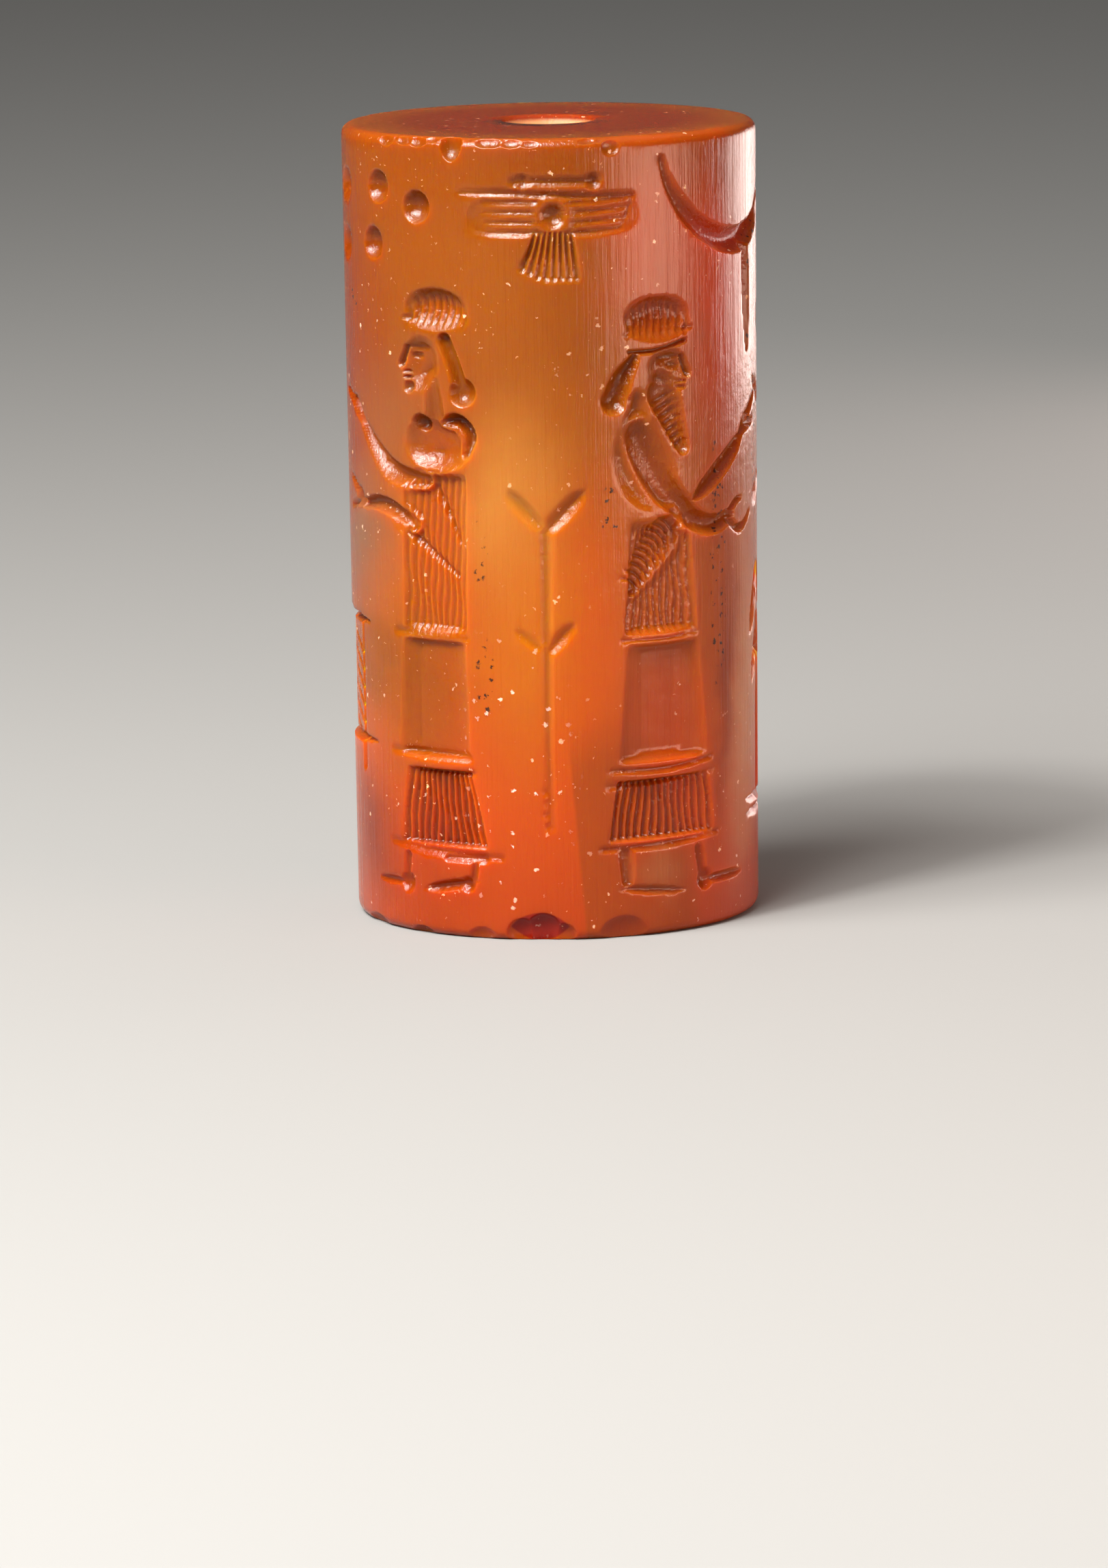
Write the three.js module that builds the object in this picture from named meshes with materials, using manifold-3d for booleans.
// A cylinder seal: a solid roller of translucent red-brown stone, drilled along its axis for a cord
// and engraved all round with a scene of worship. Millimetres. The seal stands on its lower end at
// z = 0 with its axis on +Z. Two worshippers either side of a spade standard, under a winged disc,
// face -Y.
import * as THREE from "three";
import { mergeVertices } from "three/addons/utils/BufferGeometryUtils.js";
import Module from "manifold-3d";

// The stone, a little wider at its upper end, with rounded rims.
const HEIGHT = 38;
const RADIUS_LOW = 9.66;
const RADIUS_HIGH = 9.88;
const RADIUS_MEAN = 9.77;
const RIM_ROUND = 0.55;
const RIM_STEPS = 2;
const SIDES = 48;

// The cord hole, drilled from both ends and narrowest where the two drillings meet.
const MOUTH_RADIUS = 2.25;
const MOUTH_DEPTH = 1.1;
const BORE_RADIUS = 1.95;
const BORE_WAIST = 1.8;

// Places round the surface, in millimetres from the line that faces -Y, growing anticlockwise from above.
const SPADE_AT = -0.2;
const DISC_AT = 0.1;
const YOUTH_AT = -6.1;
const ELDER_AT = 5.4;
const CRESCENT_AT = 10.8;
const STANDARD_AT = 14.1;
const GODDESS_AT = 20.7;
const GOD_AT = -26.4;
const TABLE_AT = -15.4;

// The carving's heights count from this far above the lower end.
const GROUND = 0.3;

// How far the tools went in.
const BODY_DEPTH = 0.85;
const HEAD_DEPTH = 0.6;
const LIMB_DEPTH = 0.5;
const CLOTH_DEPTH = 0.42;
const LINE_DEPTH = 0.28;

// The longest straight run round the stone before a cutter is bent again.
const BEND_STEP = 3;

const wasm = await Module();
wasm.setup();

const radiusAt = (z) => RADIUS_LOW + ((RADIUS_HIGH - RADIUS_LOW) * z) / HEIGHT;
const between = (a, b, share) => a + (b - a) * share;

function solidFrom(geometry) {
  geometry.deleteAttribute("normal");
  geometry.deleteAttribute("uv");
  const merged = mergeVertices(geometry, 1e-4);
  return new wasm.Manifold(
    new wasm.Mesh({
      numProp: 3,
      vertProperties: merged.attributes.position.array,
      triVerts: new Uint32Array(merged.index.array),
    }),
  );
}

// Bends a cutter laid out flat (x round the stone, y up it, z out of it) onto the stone's side.
function wrapped(geometry) {
  const place = geometry.attributes.position;
  for (let i = 0; i < place.count; i += 1) {
    const z = place.getY(i) + GROUND;
    const angle = place.getX(i) / RADIUS_MEAN;
    const radius = radiusAt(z) + place.getZ(i);
    place.setXYZ(i, radius * Math.sin(angle), -radius * Math.cos(angle), z);
  }
  return solidFrom(geometry);
}

// An oval hollow, as wide and high as its two half sizes.
function oval([at, z], halfWidth, halfHeight, depth) {
  const ball = new THREE.SphereGeometry(1, 8, 4);
  ball.scale(halfWidth, halfHeight, depth);
  ball.translate(at, z, 0);
  return wrapped(ball);
}

// A round hollow left by a ball-ended drill.
const drilled = (centre, radius) => oval(centre, radius, radius, radius * 0.8);

// A cut left by the rim of a small wheel: pointed at both ends, deepest in the middle.
function wheelCut(from, to, width, depth) {
  const along = new THREE.Vector2(to[0] - from[0], to[1] - from[1]);
  const cut = new THREE.SphereGeometry(1, 6, 4);
  cut.scale(width / 2, along.length() / 2, depth);
  cut.rotateZ(along.angle() - Math.PI / 2);
  cut.translate((from[0] + to[0]) / 2, (from[1] + to[1]) / 2, 0);
  return wrapped(cut);
}

// A cut of even depth between two points, with its own width at each end.
function trough(from, to, widthFrom, widthTo, depth, sides = 6) {
  const along = new THREE.Vector2(to[0] - from[0], to[1] - from[1]);
  const steps = Math.ceil(Math.abs(along.x) / BEND_STEP) || 1;
  const cut = new THREE.CylinderGeometry(0.5, 0.5, along.length(), sides, steps);
  const place = cut.attributes.position;
  for (let i = 0; i < place.count; i += 1) {
    const width = between(widthFrom, widthTo, place.getY(i) / along.length() + 0.5);
    place.setXYZ(i, place.getX(i) * width, place.getY(i), place.getZ(i) * 2 * depth);
  }
  cut.rotateZ(along.angle() - Math.PI / 2);
  cut.translate((from[0] + to[0]) / 2, (from[1] + to[1]) / 2, 0);
  return wrapped(cut);
}

// A breadth of cloth between two heights, its edges level above and below.
function cloth(top, bottom, widthTop, widthBottom, depth) {
  const cut = new THREE.CylinderGeometry(0.5, 0.5, 1, 8, 1);
  const place = cut.attributes.position;
  for (let i = 0; i < place.count; i += 1) {
    const share = place.getY(i) + 0.5;
    const width = between(widthBottom, widthTop, share);
    const middle = between(bottom[0], top[0], share);
    const height = between(bottom[1], top[1], share);
    place.setXYZ(i, middle + place.getX(i) * width, height, place.getZ(i) * 2 * depth);
  }
  return wrapped(cut);
}

// A V-shaped line.
const line = (from, to, width = 0.4, depth = LINE_DEPTH) => trough(from, to, width, width, depth, 4);

// A robed worshipper in a fluted hat, one arm raised and one held out.
// A figure's own places count forward of its middle, the way it faces.
function worshipper(at, facing, bearded) {
  const p = (forward, z) => [at + facing * forward, z];
  const cuts = [
    wheelCut(p(-2, 29.5), p(1.95, 29), 1.9, HEAD_DEPTH),
    oval(p(0.5, 26.8), 1.3, 1.4, HEAD_DEPTH),
    wheelCut(p(1, 27.5), p(2.1, 26.8), 0.5, LINE_DEPTH),
    wheelCut(p(-0.7, 28), p(-2.3, 24.8), 1.25, HEAD_DEPTH),
    oval(p(-0.4, 23.3), 2, 1.65, BODY_DEPTH),
    wheelCut(p(1, 20.7), p(5.2, 23.3), 1, LIMB_DEPTH),
    wheelCut(p(4.3, 22.7), p(7.5, 24.8), 0.65, LINE_DEPTH),
    wheelCut(p(-0.4, 20.9), p(5.7, 19.6), 0.9, LIMB_DEPTH),
    cloth(p(-0.2, 22), p(0.2, 14), 3.2, 4.2, CLOTH_DEPTH),
    line(p(-1.9, 14), p(2.5, 14), 0.5, CLOTH_DEPTH + 0.15),
    cloth(p(0.2, 14), p(0.1, 4), 4, 5.8, CLOTH_DEPTH),
    line(p(-2.4, 8), p(2.9, 8), 0.5, CLOTH_DEPTH + 0.15),
    line(p(-3, 3.9), p(3.2, 4), 0.6, CLOTH_DEPTH),
    wheelCut(p(-2, 2.9), p(0.8, 2.2), 0.7, LINE_DEPTH),
    wheelCut(p(2, 2.5), p(4.7, 2.2), 0.7, LINE_DEPTH),
  ];
  if (bearded) {
    cuts.push(cloth(p(0.8, 26.2), p(1.2, 22.8), 2.2, 0.8, LIMB_DEPTH));
  } else {
    cuts.push(drilled(p(-1.75, 25.6), 0.65));
  }
  return cuts;
}

// A god or goddess in a tall crown, armed, in a skirt open over the forward leg.
function deity(at, facing, bearded, stride) {
  const p = (forward, z) => [at + facing * forward, z];
  const cuts = [
    cloth(p(0, 32.4), p(0.1, 29.6), 4.1, 3.2, HEAD_DEPTH),
    oval(p(0.8, 27.6), 1.25, 1.7, HEAD_DEPTH),
    wheelCut(p(1.4, 28.6), p(2.5, 27.7), 0.5, LINE_DEPTH),
    oval(p(-1.7, 26.7), 1, 1.2, HEAD_DEPTH),
    oval(p(-0.5, 23.1), 2.2, 2.2, BODY_DEPTH),
    wheelCut(p(0.7, 21.9), p(4.7, 23.6), 1, LIMB_DEPTH),
    wheelCut(p(4, 23.1), p(6.4, 25), 0.6, LINE_DEPTH),
    wheelCut(p(-0.3, 21.4), p(5.2, 20), 0.9, LIMB_DEPTH),
    cloth(p(-0.2, 21.8), p(-1.7, 12.3), 2.7, 3.3, CLOTH_DEPTH),
    line(p(-1.6, 19.5), p(1.6, 19.5), 0.5, LIMB_DEPTH),
    cloth(p(-1.7, 12.5), p(-3.2, 5.6), 3.3, 4.1, CLOTH_DEPTH),
    cloth(p(stride * 0.5, 18.4), p(stride, 11.2), 1.5, 2.4, LIMB_DEPTH),
    trough(p(stride, 11.5), p(stride + 0.4, 4.2), 1.1, 0.6, CLOTH_DEPTH),
    wheelCut(p(stride - 0.2, 4.4), p(stride + 2.6, 4.2), 0.6, LINE_DEPTH),
    wheelCut(p(-3.9, 4.8), p(-1.1, 4.1), 0.6, LINE_DEPTH),
    line(p(-4.9, 3.3), p(stride + 3.2, 3.3)),
    drilled(p(-5.2, 29.1), 0.6),
    line(p(-5, 28.8), p(-2.2, 24.4)),
    drilled(p(-6.2, 31.4), 0.6),
    wheelCut(p(-1.6, 20.1), p(-5.2, 17.4), 0.6, LINE_DEPTH),
  ];
  if (bearded) {
    cuts.push(cloth(p(0.9, 27), p(1.7, 24.2), 2.1, 0.9, LIMB_DEPTH));
    cuts.push(line(p(0.2, 34.7), p(0.3, 32.3), 0.4));
    cuts.push(drilled(p(0.2, 34.7), 0.55));
  }
  return cuts;
}

// The winged disc: feathers either side below a long top edge, a short bar above and a fan of a tail.
function wingedDisc(at, z) {
  const cuts = [
    drilled([at + 0.1, z + 0.1], 0.5),
    line([at - 4.3, z + 1.1], [at + 3.8, z + 1.05]),
    line([at - 1.9, z + 1.75], [at + 2.1, z + 1.75], 0.5),
  ];
  for (let feather = 0; feather < 3; feather += 1) {
    const height = z + 0.65 - feather * 0.6;
    cuts.push(line([at - 0.6, height], [at - 3.2, height]));
    cuts.push(line([at + 0.7, height], [at + 3.4, height]));
  }
  for (const plume of [-1, 0, 1]) {
    const top = [at + plume * 0.6, z - 0.7];
    const bottom = [at - 0.1 + plume * 0.9, z - 2.75];
    cuts.push(trough(top, bottom, 0.4, 0.75, LINE_DEPTH, 4));
  }
  return cuts;
}

// The crescent moon, a row of wheel cuts that swell towards its middle, on a short staff.
function crescent(at, z) {
  const curve = 5.4;
  const steps = 6;
  const tip = Math.PI * 0.43;
  const point = (turn) => [at + curve * Math.sin(turn), z - curve * Math.cos(turn)];
  const cuts = [trough([at + 1, z - 5.8], [at + 1.1, z - 10.8], 1.1, 0.5, LIMB_DEPTH)];
  for (let i = 0; i < steps; i += 1) {
    const middle = (tip * (2 * i + 1 - steps)) / steps;
    const reach = (tip / steps) * 1.6;
    const width = between(1.2, 0.5, Math.abs(middle) / tip);
    cuts.push(wheelCut(point(middle - reach), point(middle + reach), width, width * 0.45));
  }
  return cuts;
}

// The spade standard: two pairs of short arms on a shaft.
function spade(at) {
  const cuts = [
    trough([at, 19.2], [at - 0.05, 13.7], 1, 0.9, LIMB_DEPTH),
    line([at, 14], [at - 0.05, 5.4], 0.55, CLOTH_DEPTH),
  ];
  for (const side of [-1, 1]) {
    cuts.push(wheelCut([at - side * 0.2, 19.1], [at + side * 1.8, 21.2], 0.85, LIMB_DEPTH));
    cuts.push(wheelCut([at - side * 0.2, 13.4], [at + side * 1.35, 14.9], 0.6, LINE_DEPTH));
  }
  return cuts;
}

// The leaf standard behind the bearded worshipper.
function leafStandard(at) {
  const cuts = [
    trough([at, 13.8], [at, 5.3], 0.8, 0.8, CLOTH_DEPTH),
    line([at - 1.9, 5], [at + 2.3, 5], 0.7, CLOTH_DEPTH),
  ];
  for (const side of [-1, 1]) {
    cuts.push(wheelCut([at, 16.5], [at + side * 1.5, 13.4], 0.9, LIMB_DEPTH));
    cuts.push(wheelCut([at, 13.6], [at + side * 1.3, 10.9], 0.8, LIMB_DEPTH));
  }
  return cuts;
}

// The offering table, seen from its side: two rails, three posts and a sunk panel.
function table(at) {
  const cuts = [
    line([at - 4.5, 14.3], [at + 4.2, 14.3], 0.6, CLOTH_DEPTH),
    line([at - 4.5, 8.6], [at + 4.2, 8.6], 0.5, CLOTH_DEPTH),
    cloth([at, 14.2], [at, 8.6], 7, 7, 0.16),
  ];
  for (const post of [-3.4, 0.4, 3.5]) {
    cuts.push(line([at + post, 14.2], [at + post, 7], 0.45));
  }
  return cuts;
}

// The eight-rayed star above the goddess.
function star(at, z) {
  const cuts = [];
  for (let ray = 0; ray < 4; ray += 1) {
    const turn = (ray * Math.PI) / 4;
    const across = [1.8 * Math.cos(turn), 1.8 * Math.sin(turn)];
    cuts.push(line([at - across[0], z - across[1]], [at + across[0], z + across[1]]));
  }
  return cuts;
}

// Seven round hollows for the Seven Stars, one alone and three pairs.
function sevenDots() {
  const cuts = [drilled([-6.8, 34], 0.7)];
  for (const pair of [-9.7, -13.1, -16]) {
    cuts.push(drilled([pair, 35], 0.68));
    cuts.push(drilled([pair - 0.1, 32.2], 0.68));
  }
  return cuts;
}

// The forked lightning held between the god and the table.
function lightning(at) {
  const cuts = [line([at, 24], [at - 0.2, 15.6], 0.5, CLOTH_DEPTH)];
  for (const spread of [-1, 1]) {
    cuts.push(line([at, 21.6], [at + spread * 1.3, 23.8]));
    cuts.push(line([at - 0.2, 18.2], [at - 0.2 + spread * 1.4, 15.8]));
  }
  return cuts;
}

// Flakes lost from the two rims: place round the stone, height, half width, half height, depth.
const flakes = [
  [-0.9, 0, 1.6, 1, 0.45],
  [3.3, -0.2, 1.3, 1, 0.25],
  [23, -0.3, 1.5, 0.8, 0.4],
  [-4.8, 37.6, 0.75, 0.85, 0.4],
  [-8.2, 37.7, 0.8, 0.5, 0.35],
  [-19, 37.7, 1.4, 0.7, 0.4],
].map(([at, z, halfWidth, halfHeight, depth]) => oval([at, z], halfWidth, halfHeight, depth));

// The plain stone as a closed turned profile: side, rims, ends and cord hole.
function blank() {
  const profile = [];
  for (let i = 0; i <= RIM_STEPS; i += 1) {
    const turn = (Math.PI / 2) * (i / RIM_STEPS);
    const radius = RADIUS_LOW - RIM_ROUND * (1 - Math.sin(turn));
    profile.push(new THREE.Vector2(radius, RIM_ROUND * (1 - Math.cos(turn))));
  }
  for (let i = 0; i <= RIM_STEPS; i += 1) {
    const turn = (Math.PI / 2) * (i / RIM_STEPS);
    const radius = RADIUS_HIGH - RIM_ROUND * (1 - Math.cos(turn));
    profile.push(new THREE.Vector2(radius, HEIGHT - RIM_ROUND * (1 - Math.sin(turn))));
  }
  profile.push(new THREE.Vector2(MOUTH_RADIUS, HEIGHT));
  profile.push(new THREE.Vector2(BORE_RADIUS, HEIGHT - MOUTH_DEPTH));
  profile.push(new THREE.Vector2(BORE_WAIST, HEIGHT / 2));
  profile.push(new THREE.Vector2(BORE_RADIUS, MOUTH_DEPTH));
  profile.push(new THREE.Vector2(MOUTH_RADIUS, 0));
  profile.push(profile[0]);
  const turned = new THREE.LatheGeometry(profile, SIDES);
  turned.rotateX(Math.PI / 2);
  return solidFrom(turned);
}

const carving = [
  ...worshipper(YOUTH_AT, -1, false),
  ...worshipper(ELDER_AT, 1, true),
  ...deity(GODDESS_AT, -1, false, 0.9),
  ...deity(GOD_AT, 1, true, 2.7),
  ...wingedDisc(DISC_AT, 34),
  ...crescent(CRESCENT_AT, 37.8),
  ...spade(SPADE_AT),
  ...leafStandard(STANDARD_AT),
  ...table(TABLE_AT),
  ...star(GODDESS_AT, 34.5),
  ...sevenDots(),
  ...lightning(GOD_AT + 7.1),
  drilled([GOD_AT + 6.6, 29], 0.7),
  drilled([GODDESS_AT - 5.5, 28.3], 0.6),
  ...flakes,
];

const cutters = wasm.Manifold.union(carving);
const mesh = blank().subtract(cutters).getMesh();
const geometry = new THREE.BufferGeometry();
geometry.setAttribute("position", new THREE.BufferAttribute(mesh.vertProperties, 3));
geometry.setIndex(new THREE.BufferAttribute(mesh.triVerts, 1));
geometry.computeVertexNormals();

const carnelian = new THREE.MeshStandardMaterial({ color: 0xb9480f, roughness: 0.2, metalness: 0 });
const stone = new THREE.Mesh(geometry, carnelian);
stone.name = "seal_stone";

const seal = new THREE.Group();
seal.add(stone);
export default seal;
